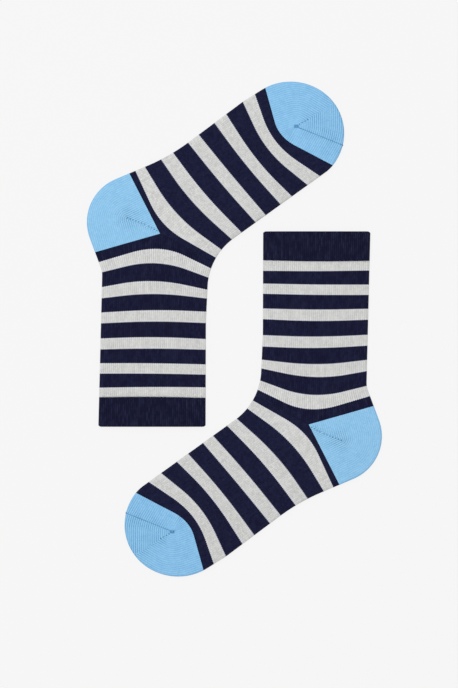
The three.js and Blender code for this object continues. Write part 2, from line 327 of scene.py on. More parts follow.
def pocketGrids(part, mouth, rimFrom, rimTo):        # spokes from the mouth out to the rim
    run = runningLength(mouth)
    grids = []
    for side, rings, margin in (
        ("outerTop", part["rings"], 0), ("outerBottom", part["underRings"], 0),
        ("innerTop", part["innerRings"], part["thickness"]),
        ("innerBottom", part["innerRings"], part["thickness"]),
    ):
        fold = (foldInsets(margin) + margin) / run[-1]
        even = np.linspace(0, 1, part["spokes"] + 1)
        clearOf = fold[-1] + part["clearOfFold"]
        share = np.concatenate([fold, even[(even > clearOf) & (even < 1 - clearOf)], 1 - fold[::-1]])
        starts = alongLine(mouth, run, share * run[-1])
        ends = backPoints(rimFrom + (rimTo - rimFrom) * share)
        if margin:
            ends = spokeEnds(starts, ends, margin)
        ends[[0, -1]] = starts[[0, -1]]
        length = np.maximum(np.linalg.norm(ends - starts, axis=1), cloth["foldRadius"])
        bend = np.minimum(cloth["foldRadius"] / length, 0.5)[:, None]        # half a spoke at most
        steps = foldInsets(margin)[None, ::-1] / cloth["foldRadius"]
        along = np.hstack([np.linspace(0, 1, rings + 1)[None, :-1] * (1 - bend), 1 - bend * steps])
        points = starts[:, None] + (ends - starts)[:, None] * along[:, :, None]
        points = points.transpose(1, 0, 2)
        depth = depthInside(points)
        depth[-1] = margin
        depth[:, [0, -1]] = margin
        wale, course, clear = part["field"](points, points)
        grids.append({
            "side": side, "points": points, "depth": depth, "shares": share[None],
            "wale": wale, "course": course, "tone": clear,
        })
    return grids


# Meshes

layScale = 100.0        # millimetres on the sock for one unit of the lay map


def placed(points, turned):        # from a sock's frame to the pair's, in metres
    spot = points[:, :2] - np.array(sockShape["pairCentre"])
    spot = -spot if turned else spot
    return np.column_stack([spot, points[:, 2]]) * mm


def layerHeight(grid, part):
    if grid["side"] in ("innerTop", "innerBottom"):
        return innerHeight(grid["depth"], part, grid["side"] == "innerTop")
    height = outerTop if grid["side"] == "outerTop" else outerBottom
    clear = 1 if part["open"] else grid["tone"]
    return height(grid["points"], grid["depth"], grid["wale"], clear, part)


def bakeMaps(grids):        # the top, the underside and the small inner faces laid side by side
    flat = {grid["side"]: grid["points"].reshape(-1, 2) for grid in grids}
    allPoints = np.vstack(list(flat.values()))
    low = allPoints.min(axis=0)
    width, height = allPoints.max(axis=0) - low
    margin, small, room, shift = 2.0, 0.15, 1.2, 0.3
    whole = max(2 * width + 3 * margin, height * room + 3 * margin)
    above = height + 2 * margin
    spots = {
        "outerTop": (margin, margin, 1), "outerBottom": (width + 2 * margin, margin, 1),
        "innerTop": (margin, above, small), "innerBottom": (margin + width * shift, above, small),
    }
    return {side: ((flat[side] - low) * scale + (x, y)) / whole for side, (x, y, scale) in spots.items()}


def matchedEdge(first, firstPlaces, second, secondPlaces):        # pairs up the points of two edges
    places = np.union1d(firstPlaces, secondPlaces)
    pick = [np.abs(own[None] - places[:, None]).argmin(axis=1) for own in (firstPlaces, secondPlaces)]
    return first[pick[0]], second[pick[1]]


def clothPiece(name, part, turned):
    bake = bakeMaps(part["grids"])
    points, quads = [], []
    maps = {"knit": [], "lay": [], "yarn": [], "OFBake": []}
    blocks, edges = {}, {}
    count = 0
    for grid in part["grids"]:
        side = grid["side"]
        rows, columns = grid["wale"].shape
        block = np.arange(count, count + rows * columns).reshape(rows, columns)
        blocks[side], edges[side] = block, grid["shares"]
        count += rows * columns
        flat = grid["points"].reshape(-1, 2)
        points.append(np.column_stack([flat, layerHeight(grid, part).reshape(-1)]))
        maps["knit"].append(np.column_stack([grid["wale"].reshape(-1), grid["course"].reshape(-1)]))
        maps["lay"].append(flat / layScale)
        maps["yarn"].append(np.column_stack([grid["tone"].reshape(-1), grid["depth"].reshape(-1)]))
        maps["OFBake"].append(bake[side])
        a, b, c, d = block[:-1, :-1], block[:-1, 1:], block[1:, 1:], block[1:, :-1]
        facesUp = side in ("outerTop", "innerBottom")
        order = (a, b, c, d) if facesUp else (a, d, c, b)
        quads.append(np.stack([corner.reshape(-1) for corner in order], axis=1))
    openEnds = [0, -1] if part["open"] else [0]
    for end in openEnds:        # the cut edge of each layer
        for inner, outer in (("innerTop", "outerTop"), ("outerBottom", "innerBottom")):
            low, high = matchedEdge(
                blocks[inner][end], edges[inner][end], blocks[outer][end], edges[outer][end])
            order = (low[:-1], low[1:], high[1:], high[:-1])
            order = order if end == 0 else order[::-1]
            quads.append(np.stack(order, axis=1))
    points, quads = np.vstack(points), np.vstack(quads)
    maps = {key: np.vstack(value)[quads] for key, value in maps.items()}
    if not part["open"]:        # each face of a pocket takes its rows from one field
        corners = points[quads][..., :2]
        places = part["field"](corners, corners.mean(axis=1, keepdims=True))
        maps["knit"] = np.stack(places[:2], axis=-1)
    return meshPiece(name, placed(points, turned), quads, maps)


def meshPiece(name, points, quads, maps):        # the maps hold a value for each face's corner
    joinWithin = 1e-7
    _, first, join = np.unique(np.round(points / joinWithin).astype(np.int64), axis=0,
                               return_index=True, return_inverse=True)
    joined = join.reshape(-1)[quads]
    folded = (joined == np.roll(joined, -1, axis=1)).any(axis=1)
    folded = folded | (joined[:, 0] == joined[:, 2]) | (joined[:, 1] == joined[:, 3])
    whole = np.flatnonzero(~folded)
    faces = [np.repeat(whole, 4)]
    corners = [np.tile(np.arange(4), len(whole))]
    sizes = [np.full(len(whole), 4)]
    for face in np.flatnonzero(folded):        # two corners in one spot leave a triangle
        kept = [k for k in range(4) if joined[face, k] not in joined[face, :k]]
        if len(kept) == 3:
            faces.append([face] * 3)
            corners.append(kept)
            sizes.append([3])
    faces, corners, sizes = (np.concatenate(parts) for parts in (faces, corners, sizes))
    starts = np.concatenate([[0], np.cumsum(sizes)[:-1]])
    mesh = bpy.data.meshes.new(name)
    mesh.vertices.add(len(first))
    mesh.vertices.foreach_set("co", points[first].reshape(-1))
    mesh.loops.add(len(corners))
    mesh.loops.foreach_set("vertex_index", joined[faces, corners].astype(np.int32))
    mesh.polygons.add(len(sizes))
    mesh.polygons.foreach_set("loop_start", starts.astype(np.int32))
    for key, values in maps.items():
        layer = mesh.uv_layers.new(name=key)
        layer.data.foreach_set("uv", values[faces, corners].reshape(-1))
    mesh.update(calc_edges=True)
    mesh.validate()
    return linkedPiece(name, mesh)


def linkedPiece(name, mesh):
    mesh.polygons.foreach_set("use_smooth", [True] * len(mesh.polygons))
    piece = bpy.data.objects.new(name, mesh)
    bpy.context.collection.objects.link(piece)
    return piece


# Yarn and stitches

yarns = {
    "navy": (15, 17, 47), "navyLight": (46, 49, 80),
    "grey": (207, 207, 204), "greyLight": (222, 222, 220), "greyDark": (185, 186, 184),
    "greyEdge": (222, 224, 238),
    "heelBlue": (138, 187, 220), "toeBlue": (132, 184, 223),
    "blueLight": (158, 208, 241), "blueDeep": (112, 172, 218), "seamBlue": (48, 92, 132),
    "paintedShade": (0, 0, 0), "bluePaintedShade": (63, 128, 170),        # painted shade between the stitches and in the holes
}


def toLinear(level):        # from a display level of 0 to 255
    share = level / 255
    return ((share + 0.055) / 1.055) ** 2.4 if share > 0.04045 else share / 12.92


def dye(name):        # the colour of one yarn
    return [toLinear(level) for level in yarns[name]] + [1.0]


class Nodes:        # short ways to add nodes to the tree of a group or a material
    def __init__(self, tree):
        self.tree = tree

    def add(self, kind):
        return self.tree.nodes.new(kind)

    def link(self, value, socket):        # a plain value is set on the socket
        if isinstance(value, (int, float, list)):
            socket.default_value = value
        else:
            self.tree.links.new(value, socket)

    def value(self, operation, *values, clamp=False):
        node = self.add("ShaderNodeMath")
        node.operation = operation
        node.use_clamp = clamp
        for i, value in enumerate(values):
            self.link(value, node.inputs[i])
        return node.outputs[0]

    def times(self, a, b, clamp=False):
        return self.value("MULTIPLY", a, b, clamp=clamp)

    def plus(self, a, b, clamp=False):
        return self.value("ADD", a, b, clamp=clamp)

    def minus(self, a, b, clamp=False):
        return self.value("SUBTRACT", a, b, clamp=clamp)

    def split(self, vector):
        node = self.add("ShaderNodeSeparateXYZ")
        self.link(vector, node.inputs[0])
        return node.outputs[0], node.outputs[1]

    def combine(self, x, y):
        node = self.add("ShaderNodeCombineXYZ")
        self.link(x, node.inputs[0])
        self.link(y, node.inputs[1])
        return node.outputs[0]

    def uv(self, name):
        node = self.add("ShaderNodeUVMap")
        node.uv_map = name
        return node.outputs[0]

    def mix(self, factor, a, b):
        node = self.add("ShaderNodeMix")
        node.data_type = "RGBA"
        for value, place in ((factor, 0), (a, 6), (b, 7)):
            self.link(value, node.inputs[place])
        return node.outputs[2]

    def noise(self, scale, detail=2.0):
        node = self.add("ShaderNodeTexNoise")
        self.link(scale, node.inputs["Scale"])
        self.link(detail, node.inputs["Detail"])
        place = self.add("ShaderNodeTexCoord")
        self.link(place.outputs["Object"], node.inputs["Vector"])
        return node.outputs[0]

    def group(self, tree, **values):
        node = self.add("ShaderNodeGroup")
        node.node_tree = tree
        for key, value in values.items():
            self.link(value, node.inputs[key])
        return node.outputs


def newGroup(name, inputs, outputs):        # the sockets' names and kinds
    tree = bpy.data.node_groups.new(name, "ShaderNodeTree")
    for way, sockets in (("INPUT", inputs), ("OUTPUT", outputs)):
        for socketName, kind in sockets.items():
            tree.interface.new_socket(name=socketName, in_out=way, socket_type=f"NodeSocket{kind}")
    return Nodes(tree), tree.nodes.new("NodeGroupInput").outputs, tree.nodes.new("NodeGroupOutput").inputs


def floats(*names):
    return dict.fromkeys(names, "Float")


# Stitches of a knit face: two slanting legs in each loop, in ridges that run along the wales.
stitchLook = {
    "slant": 1.1,        # of a loop's two legs, in courses
    "valley": 3.0, "gap": 3.0,        # higher values make them narrower
    "split": 9.0, "splitDepth": 0.6,        # the loop's legs part in the middle of a wale
    "streakApart": 7.31, "streakRate": 0.15,        # each wale has its own slow change of tone
}


def makeStitches():
    nodes, given, made = newGroup(
        "stitches", {"Knit": "Vector", **floats("Ridge", "Loops")},
        floats("Height", "Valley", "Fleck", "Zigzag", "Streak"))
    wale, course = nodes.split(given["Knit"])
    off = nodes.value("ABSOLUTE", nodes.minus(nodes.value("FRACT", wale), 0.5))
    slant = nodes.plus(course, nodes.times(off, stitchLook["slant"]))
    loop = nodes.value("SINE", nodes.times(nodes.value("FRACT", slant), math.pi))
    edge = nodes.value("POWER", nodes.times(off, 2.0), stitchLook["valley"])
    middle = nodes.times(off, stitchLook["split"], clamp=True)
    middle = nodes.times(middle, 1 - stitchLook["splitDepth"])
    legs = nodes.times(loop, nodes.plus(stitchLook["splitDepth"], middle))
    ridges = nodes.times(nodes.minus(1.0, edge), given["Ridge"])
    nodes.link(nodes.plus(ridges, nodes.times(legs, given["Loops"])), made["Height"])
    # Valley marks the valleys and the gaps between the loops, where painted shade goes
    valley = nodes.times(edge, given["Ridge"])
    gap = nodes.value("POWER", nodes.minus(1.0, loop), stitchLook["gap"])
    gap = nodes.times(gap, given["Loops"])
    nodes.link(nodes.value("MAXIMUM", valley, gap), made["Valley"])
    column = nodes.value("FLOOR", wale)
    fleck = nodes.add("ShaderNodeTexWhiteNoise")
    fleck.noise_dimensions = "2D"
    nodes.link(nodes.combine(column, nodes.value("FLOOR", slant)), fleck.inputs["Vector"])
    nodes.link(fleck.outputs["Value"], made["Fleck"])
    nodes.link(nodes.minus(off, 0.25), made["Zigzag"])
    streak = nodes.add("ShaderNodeTexNoise")
    streak.noise_dimensions = "2D"
    streak.inputs["Scale"].default_value = 1.0
    streak.inputs["Detail"].default_value = 1.0
    across = nodes.times(column, stitchLook["streakApart"])
    along = nodes.times(course, stitchLook["streakRate"])
    nodes.link(nodes.combine(across, along), streak.inputs["Vector"])
    nodes.link(streak.outputs[0], made["Streak"])
    return nodes.tree


# A row of tiny holes along a line on the sock, where stitches were moved to shape it. The mask sinks them
# and darkens them with painted shade.
def makeDotRow():
    nodes, given, made = newGroup("dotRow", {
        "Lay": "Vector", **floats("Start X", "Start Y", "Angle", "Length", "Spacing", "Radius"),
    }, floats("Mask"))
    layX, layY = nodes.split(given["Lay"])
    x = nodes.minus(nodes.times(layX, layScale), given["Start X"])
    y = nodes.minus(nodes.times(layY, layScale), given["Start Y"])
    cosine, sine = nodes.value("COSINE", given["Angle"]), nodes.value("SINE", given["Angle"])
    along = nodes.plus(nodes.times(x, cosine), nodes.times(y, sine))
    across = nodes.minus(nodes.times(y, cosine), nodes.times(x, sine))
    step = nodes.value("FRACT", nodes.value("DIVIDE", along, given["Spacing"]))
    off = nodes.times(nodes.minus(step, 0.5), given["Spacing"])
    squares = nodes.times(off, off), nodes.times(across, across)
    gap = nodes.value("SQRT", nodes.plus(*squares))
    dot = nodes.minus(1.0, nodes.value("DIVIDE", gap, given["Radius"]), clamp=True)
    started = nodes.value("GREATER_THAN", along, 0.0)
    ended = nodes.value("LESS_THAN", along, given["Length"])
    nodes.link(nodes.times(dot, nodes.times(started, ended)), made["Mask"])
    return nodes.tree


def makePatches():        # soft patches: a lower start makes them larger, more gain harder
    nodes, given, made = newGroup("patches", floats("Scale", "Detail", "From", "Gain"), floats("Mask"))
    above = nodes.minus(nodes.noise(given["Scale"], given["Detail"]), given["From"])
    nodes.link(nodes.times(above, given["Gain"], clamp=True), made["Mask"])
    return nodes.tree


stitches, dotRow, patches = makeStitches(), makeDotRow(), makePatches()

# The painted shade between the stitches comes and goes in patches, and shows less where the rows
# aren't clear. Holes are deep and get painted shade, and the nap is the yarn's fine roughness.
surfaceLook = {
    "patch": {"Scale": 170, "Detail": 1.0, "From": 0.42, "Gain": 5.0},
    "napScale": 2600, "napDetail": 3.0, "napHeight": 0.5,
    "holeShade": 0.95, "holeDepth": 2.0,
}


def makeSurface():
    nodes, given, made = newGroup(
        "clothSurface", floats("Valley", "Relief", "Patch", "Patchy", "Shade", "Clear", "Holes"),
        floats("Painted Shade", "Height"))
    uneven = nodes.times(given["Patch"], given["Patchy"])
    uneven = nodes.plus(uneven, nodes.minus(1.0, given["Patchy"]))
    uneven = nodes.times(nodes.times(uneven, given["Shade"]), given["Clear"])
    valley = nodes.times(given["Valley"], uneven)
    dark = nodes.times(given["Holes"], surfaceLook["holeShade"])
    nodes.link(nodes.plus(valley, dark, clamp=True), made["Painted Shade"])
    relief = nodes.times(given["Relief"], given["Clear"])
    nap = nodes.noise(surfaceLook["napScale"], surfaceLook["napDetail"])
    height = nodes.plus(relief, nodes.times(nap, surfaceLook["napHeight"]))
    deep = nodes.times(given["Holes"], surfaceLook["holeDepth"])
    nodes.link(nodes.minus(height, deep), made["Height"])
    return nodes.tree


navyLook = {"streakFrom": 0.45, "streakGain": 2.0}


def makeNavyYarn():
    nodes, given, made = newGroup(
        "navyYarn", floats("Fleck", "Streak", "Fleck Share", "Streak Share"), {"Color": "Color"})
    single = nodes.times(given["Fleck"], given["Fleck Share"])
    along = nodes.minus(given["Streak"], navyLook["streakFrom"])
    gain = nodes.times(given["Streak Share"], navyLook["streakGain"])
    lighter = nodes.plus(single, nodes.times(along, gain), clamp=True)
    nodes.link(nodes.mix(lighter, dye("navy"), dye("navyLight")), made["Color"])
    return nodes.tree


greyLook = {        # heathered: stitches and soft patches are lighter or darker
    "patch": {"Scale": 720, "Detail": 2.0, "From": 0.2222, "Gain": 1.8},
    "patchShare": 0.4, "streakFrom": 0.2, "streakGain": 2.2,
}


def makeGreyYarn():
    nodes, given, made = newGroup(
        "greyYarn", floats("Fleck", "Streak", "Patch", "Fleck Share", "Streak Share"),
        {"Color": "Color"})
    dark, light = dye("greyDark"), dye("greyLight")
    patchy = nodes.mix(given["Patch"], light, dark)
    base = nodes.mix(greyLook["patchShare"], dye("grey"), patchy)
    base = nodes.mix(given["Fleck Share"], base, nodes.mix(given["Fleck"], dark, light))
    along = nodes.minus(given["Streak"], greyLook["streakFrom"])
    along = nodes.times(along, greyLook["streakGain"], clamp=True)
    nodes.link(nodes.mix(given["Streak Share"], base, nodes.mix(along, dark, light)), made["Color"])
    return nodes.tree


# Grey is 1 on a grey stripe, and Border is how violet the stripe is near its borders.
stripeLook = {
    "jag": 0.07,        # loops of two yarns reach into each other
    "greyMiddle": 0.75, "greyHalf": 0.245, "sharpness": 40.0,
    "edgeTint": 0.5, "edgeWidth": 16.0,
    "navyFleck": 0.5, "greyFleck": 1.2,
}


def makeStripes():
    nodes, given, made = newGroup("stripes", floats("Stripe", "Zigzag"), floats("Grey", "Border"))
    jag = nodes.times(given["Zigzag"], stripeLook["jag"])
    pair = nodes.value("FRACT", nodes.times(nodes.plus(given["Stripe"], jag), 0.5))
    fromMiddle = nodes.value("ABSOLUTE", nodes.minus(pair, stripeLook["greyMiddle"]))
    toBorder = nodes.minus(stripeLook["greyHalf"], fromMiddle)
    grey = nodes.times(toBorder, stripeLook["sharpness"])
    nodes.link(nodes.plus(grey, 0.5, clamp=True), made["Grey"])
    tint = nodes.times(nodes.value("ABSOLUTE", toBorder), stripeLook["edgeWidth"])
    tint = nodes.minus(1.0, tint, clamp=True)
    nodes.link(nodes.times(tint, stripeLook["edgeTint"]), made["Border"])
    return nodes.tree


blueLook = {
    "patch": {"Scale": 300, "Detail": 2.0, "From": 0.2222, "Gain": 1.8},
    "patchShare": 0.25, "fleckShare": 0.22,
    "foldShadeWidth": 0.9,        # painted shade: deeper blue round the fold, where the cloth turns from the light
}


def makeBlueYarn():
    nodes, given, made = newGroup(
        "blueYarn", {"Base": "Color", **floats("Fleck", "Patch", "Depth", "Clear", "Lift")},
        {"Color": "Color"})
    deep, light = dye("blueDeep"), dye("blueLight")
    patchy = nodes.mix(given["Patch"], light, deep)
    colour = nodes.mix(blueLook["patchShare"], given["Base"], patchy)
    colour = nodes.mix(blueLook["fleckShare"], colour, nodes.mix(given["Fleck"], deep, light))
    # painted shade round the fold: the colour turns deep blue near the edge
    inside = nodes.times(given["Depth"], 1 / blueLook["foldShadeWidth"], clamp=True)
    colour = nodes.mix(inside, deep, colour)
    rowHighlight = nodes.times(given["Clear"], given["Lift"])        # painted highlight: where the rows show clearly, the cloth is lighter
    nodes.link(nodes.mix(rowHighlight, colour, light), made["Color"])
    return nodes.tree


clothSurface, stripes = makeSurface(), makeStripes()
navyYarn, greyYarn, blueYarn = makeNavyYarn(), makeGreyYarn(), makeBlueYarn()

knitShader = {
    "Roughness": 0.92, "Specular IOR Level": 0.12, "Sheen Weight": 0.012, "Sheen Roughness": 0.6,
}


def newMaterial(name):
    material = bpy.data.materials.new(name)
    material.use_nodes = True
    return material, material.node_tree.nodes["Principled BSDF"].inputs


class Knit(Nodes):        # the material of one zone
    def __init__(self, name, part):
        self.material, self.shader = newMaterial(name)
        super().__init__(self.material.node_tree)
        for key, value in knitShader.items():
            self.shader[key].default_value = value
        self.part = part
        self.stitch = self.group(stitches, Knit=self.uv("knit"), Ridge=part["ridge"], Loops=part["loops"])

    def patch(self, look):
        return self.group(patches, **look["patch"])["Mask"]

    def strand(self, yarnGroup, flecks=1.0, **more):        # the colour of navy or grey yarn
        return self.group(yarnGroup, **{
            "Fleck": self.stitch["Fleck"], "Fleck Share": self.part["fleck"] * flecks,
            "Streak": self.stitch["Streak"], "Streak Share": self.part["streak"], **more,
        })["Color"]

    def finish(self, colour, shade, paintedShade="paintedShade", holes=0.0, clear=1.0):
        surface = self.group(
            clothSurface, Valley=self.stitch["Valley"], Relief=self.stitch["Height"],
            Patch=self.patch(surfaceLook), Patchy=self.part["patchy"],
            Shade=shade, Clear=clear, Holes=holes)
        # painted shade: the colour is mixed towards a dark shade colour between the stitches and in the
        # holes
        self.link(self.mix(surface["Painted Shade"], colour, dye(paintedShade)), self.shader["Base Color"])
        bump = self.add("ShaderNodeBump")
        bump.inputs["Distance"].default_value = self.part["bump"] * mm
        bump.inputs["Strength"].default_value = 1.0
        self.link(surface["Height"], bump.inputs["Height"])
        self.link(bump.outputs[0], self.shader["Normal"])
        return self.material


def plainKnit(name, part):
    knit = Knit(name, part)
    return knit.finish(knit.strand(navyYarn), part["shade"])


def stripedKnit(name, part):
    knit = Knit(name, part)
    number, _ = knit.split(knit.uv("yarn"))
    stripe = knit.group(stripes, Stripe=number, Zigzag=knit.stitch["Zigzag"])
    greyCloth = knit.strand(greyYarn, stripeLook["greyFleck"], Patch=knit.patch(greyLook))
    greyCloth = knit.mix(stripe["Border"], greyCloth, dye("greyEdge"))
    navyCloth = knit.strand(navyYarn, stripeLook["navyFleck"])
    change = knit.times(stripe["Grey"], part["greyShade"] - part["navyShade"])
    shade = knit.plus(part["navyShade"], change)
    return knit.finish(knit.mix(stripe["Grey"], navyCloth, greyCloth), shade)


def blueKnit(name, part):
    knit = Knit(name, part)
    clear, depth = knit.split(knit.uv("yarn"))
    colour = knit.group(
        blueYarn, Base=dye(part["yarn"]), Fleck=knit.stitch["Fleck"],
        Patch=knit.patch(blueLook), Depth=depth, Clear=clear, Lift=part["rowHighlight"])["Color"]
    lay = knit.uv("lay")
    holes = 0.0
    for x, y, towards, length, spacing, radius in part["dots"]:
        row = knit.group(dotRow, **{
            "Lay": lay, "Start X": x, "Start Y": y, "Angle": math.radians(towards),
            "Length": length, "Spacing": spacing, "Radius": radius,
        })
        holes = knit.value("MAXIMUM", holes, row["Mask"])
    return knit.finish(colour, part["shade"], "bluePaintedShade", holes, clear)


# Tubes. A zone's "from" and "to" are distances along the back, and its cut is the knitted
# cloth's width all round and its length, in metres.
print("cuff, leg and foot")

cuff = {
    "table": "leg", "from": 0, "to": 19, "rows": 30, "open": True,
    "thickness": 1.5, "ribHeight": 0.2, "foldShare": 0.046,
    "cut": (0.14, 0.0195), "slot": "navy_knit",
    "ridge": 0.9, "loops": 0.3, "bump": 0.3, "shade": 1.0, "patchy": 0.3, "fleck": 0.1, "streak": 0.55,
}
cuff["grids"] = tubeGrids(cuff)
cuff["material"] = plainKnit("navyCuffKnit", cuff)

leg = {
    "table": "leg", "from": 19, "to": 114.25, "rows": 100, "open": True,
    "thickness": 1.25, "ribHeight": 0.13, "foldShare": 0.035,
    "cut": (0.136, 0.108), "slot": "striped_knit",
    "ridge": 0.8, "loops": 0.35, "bump": 0.25, "navyShade": 0.8, "greyShade": 0.27,
    "patchy": 0.6, "fleck": 0.3, "streak": 0.3,
}
leg["grids"] = tubeGrids(leg)
leg["material"] = stripedKnit("stripedLegKnit", leg)

foot = {
    "table": "foot", "from": 180.05, "to": 284.9, "rows": 112, "open": True,
    "thickness": 1.25, "ribHeight": 0.05, "foldShare": 0.035,
    "cut": (0.138, 0.118), "slot": "striped_knit",
    "ridge": 0.35, "loops": 0.6, "bump": 0.22, "navyShade": 0.5, "greyShade": 0.46,
    "patchy": 0.35, "fleck": 0.42, "streak": 0.15,
}
foot["grids"] = tubeGrids(foot)
foot["material"] = stripedKnit("stripedFootKnit", foot)


# Heel
print("heel")

heel = {
    "thickness": 1.35, "ribHeight": 0.09, "open": False,
    "spokes": 230, "rings": 84, "underRings": 30, "innerRings": 5, "clearOfFold": 0.004,
    "cut": (0.094, 0.04), "slot": "blue_knit",
    "ridge": 0.8, "loops": 0.35, "bump": 0.22, "shade": 1.15, "patchy": 0.35,
    # the clear rows get a painted highlight
    "yarn": "heelBlue", "rowHighlight": 0.3,
    "rowWidth": 1.33,
    "legEdge": 195.9, "soleEdge": 117.1,        # directions of its two edges from the gore
    "fanCentre": (-14.8, 135.0),        # the rows of stitches turn about this point
    "fanSpread": 6.0,
    "clearLeast": 0.42, "clearFan": 0.55, "clearDots": 0.45,        # how clearly the rows show
    "fanFade": (3, 11), "dotsFade": (1.5, 4), "dotsStart": (1, 5), "dotsEnd": (20, 26),
    "legSideNarrower": 2.2,
    "dots": [        # x, y, direction, length, spacing, radius
        (4.1, 126.9, 151.4, 8.0, 2.0, 0.58), (-3.9, 131.2, 159.4, 13.4, 2.0, 0.58),
    ],
}


def direction(degrees):
    return np.array((math.cos(math.radians(degrees)), math.sin(math.radians(degrees))))


# Wale and course numbers of the heel: rows run along its two edges, mitred at the gore,
# and turn about the fan's centre towards the back of the heel. The field that a point takes
# is that of its face's middle, so that no face lies across a border of two fields.
def heelField(points, middle):
    e1, e2 = direction(heel["legEdge"]), direction(heel["soleEdge"])
    n1, n2 = np.array((-e1[1], e1[0])), np.array((-e2[1], e2[0]))
    fanCentre = np.array(heel["fanCentre"])
    toFan = fanCentre - goreCorner
    towards = unit(toFan)
    aside = np.array((towards[1], -towards[0]))
    legSide = ((middle - goreCorner) @ aside > 0) == (e1 @ aside > 0)
    fromGore, fromFan = points - goreCorner, points - fanCentre
    u = np.where(legSide, fromGore @ e1, fromGore @ e2)
    v = np.where(legSide, fromGore @ n1, fromGore @ n2)
    angle = np.degrees(np.arctan2(fromFan[..., 1], fromFan[..., 0])) % 360
    middleFan = middle - fanCentre
    middleAngle = np.degrees(np.arctan2(middleFan[..., 1], middleFan[..., 0])) % 360
    inFan = (middleAngle > heel["soleEdge"]) & (middleAngle < heel["legEdge"])
    radius = np.linalg.norm(fromFan, axis=-1)
    share = np.clip((angle - heel["soleEdge"]) / (heel["legEdge"] - heel["soleEdge"]), 0, 1)
    toCentre = toFan @ e2 * (1 - share) + toFan @ e1 * share
    sweep = np.radians(heel["legEdge"] - angle) * (radius + heel["fanSpread"])
    u = np.where(inFan, toCentre + radius, u)
    v = np.where(inFan, toFan @ n1 - sweep, v)
    across = fromGore @ aside
    onLegSide = across * (e1 @ aside) > 0
    across = np.where(onLegSide, heel["legSideNarrower"], 1) * np.abs(across)
    along = fromGore @ towards
    nearDots = (1 - smooth(across, *heel["dotsFade"])) * smooth(along, *heel["dotsStart"])
    nearDots = nearDots * (1 - smooth(along, *heel["dotsEnd"]))
    nearFan = 1 - smooth(radius, *heel["fanFade"])
    clear = heel["clearLeast"] + np.maximum(heel["clearFan"] * nearFan, heel["clearDots"] * nearDots)
    return u / heel["rowWidth"], v / cloth["courseHeight"], clear


legEnd, footStart = courseTable["leg"][-1][0], courseTable["foot"][0][0]
heelMouth = np.vstack([backPoints(legEnd)[0], goreCorner, backPoints(footStart)[0]])
heel["field"] = heelField
heel["grids"] = pocketGrids(heel, heelMouth, legEnd, footStart)
heel["material"] = blueKnit("blueHeelKnit", heel)


# Toe
print("toe")

toe = {
    "thickness": 1.35, "ribHeight": 0.1, "open": False,
    "spokes": 260, "rings": 104, "underRings": 30, "innerRings": 5, "clearOfFold": 0.004,
    "cut": (0.116, 0.05), "slot": "blue_knit",
    "ridge": 0.9, "loops": 0.3, "bump": 0.22, "shade": 1.1, "patchy": 0.35,
    # the clear rows get a painted highlight
    "yarn": "toeBlue", "rowHighlight": 0.15,
    "rowWidth": 1.36,
    "corner": (93.3, 195.15),        # where the toe's gore starts
    "seamEnd": (124.2, 182.9),
    "gore": 31.5, "topField": 59.0, "backField": 110.0, "fanStart": 200.0,        # in degrees
    "fanEnd": 239.7, "underSeam": -30.3,
    "fanSpread": 10.0,
    # how clearly the rows show at some angles round the corner
    "clearAngles": (-22, 35, 60, 85, 190, 215, 236, 247, 262, 312, 325, 338),
    "clearness": (0.9, 0.85, 0.52, 0.48, 0.5, 0.8, 0.6, 0.95, 0.42, 0.5, 0.72, 0.9),
    "cornerFade": (3, 7), "cornerClearness": (0.5, 1),
    "dots": [        # x, y, direction, length, spacing, radius
        (93.3, 195.15, 29, 10.4, 2.0, 0.62),
        (92.3, 195.25, 0, 3.2, 1.6, 1.5),        # the gathered spot where the seam starts, darkened with painted shade
    ],
}


# Wale and course numbers of the toe, in fields round the corner of its gore. The rows are
# straight in some and turn about the corner in others.
def toeField(points, middle):
    corner = np.array(toe["corner"])
    toSeam = np.array(toe["seamEnd"]) - corner
    seamAngle = math.degrees(math.atan2(toSeam[1], toSeam[0]))
    fromCorner, middleFrom = points - corner, middle - corner
    radius = np.linalg.norm(fromCorner, axis=-1)
    chosen = np.degrees(np.arctan2(middleFrom[..., 1], middleFrom[..., 0]))
    chosen = np.where(chosen < seamAngle, chosen + 360, chosen)
    angle = np.degrees(np.arctan2(fromCorner[..., 1], fromCorner[..., 0]))
    angle = chosen + (angle - chosen + 180) % 360 - 180

    def straight(towards):
        turned = np.radians(angle - towards)
        return radius * np.cos(turned), radius * np.sin(turned)

    arc = radius, np.radians(angle) * radius
    fan = -np.radians(angle - toe["fanStart"]) * toe["fanSpread"], radius
    under = straight(toe["underSeam"])
    fields = [
        (0, arc), (toe["gore"], straight(0)), (toe["topField"], straight(toe["topField"])),
        (toe["backField"], arc), (toe["fanStart"], straight(toe["backField"])), (toe["fanEnd"], fan),
    ]
    inside = [chosen < end for end, _ in fields]
    u = np.select(inside, [place[0] for _, place in fields], under[0])
    v = np.select(inside, [place[1] for _, place in fields], under[1])
    nearCorner = np.interp(radius, toe["cornerFade"], toe["cornerClearness"])
    clear = np.interp(angle, toe["clearAngles"], toe["clearness"]) * nearCorner
    return u / toe["rowWidth"], v / cloth["courseHeight"], clear


toeMouth = courseLine(courseRows(courseTable["foot"]), foot["to"])
toeRimEnd = edgeRun[-1] - courseTable["foot"][-1][1]
toe["field"] = toeField
toe["grids"] = pocketGrids(toe, toeMouth, foot["to"], toeRimEnd)
toe["material"] = blueKnit("blueToeKnit", toe)


# The linked seam across the toe: one thread with a small swelling at each stitch, laid in
# the cloth, and a knot where it starts.
seam = {
    "radius": 0.25, "sides": 8, "step": 0.22,
    "stitch": 1.3, "thinnest": 0.75, "swelling": 0.35,
    "knotRadius": 0.85, "knotReach": 1.1, "endKnot": 0.3, "endReach": 0.7,
    "yarnNoise": 400, "roughness": 0.85,
}


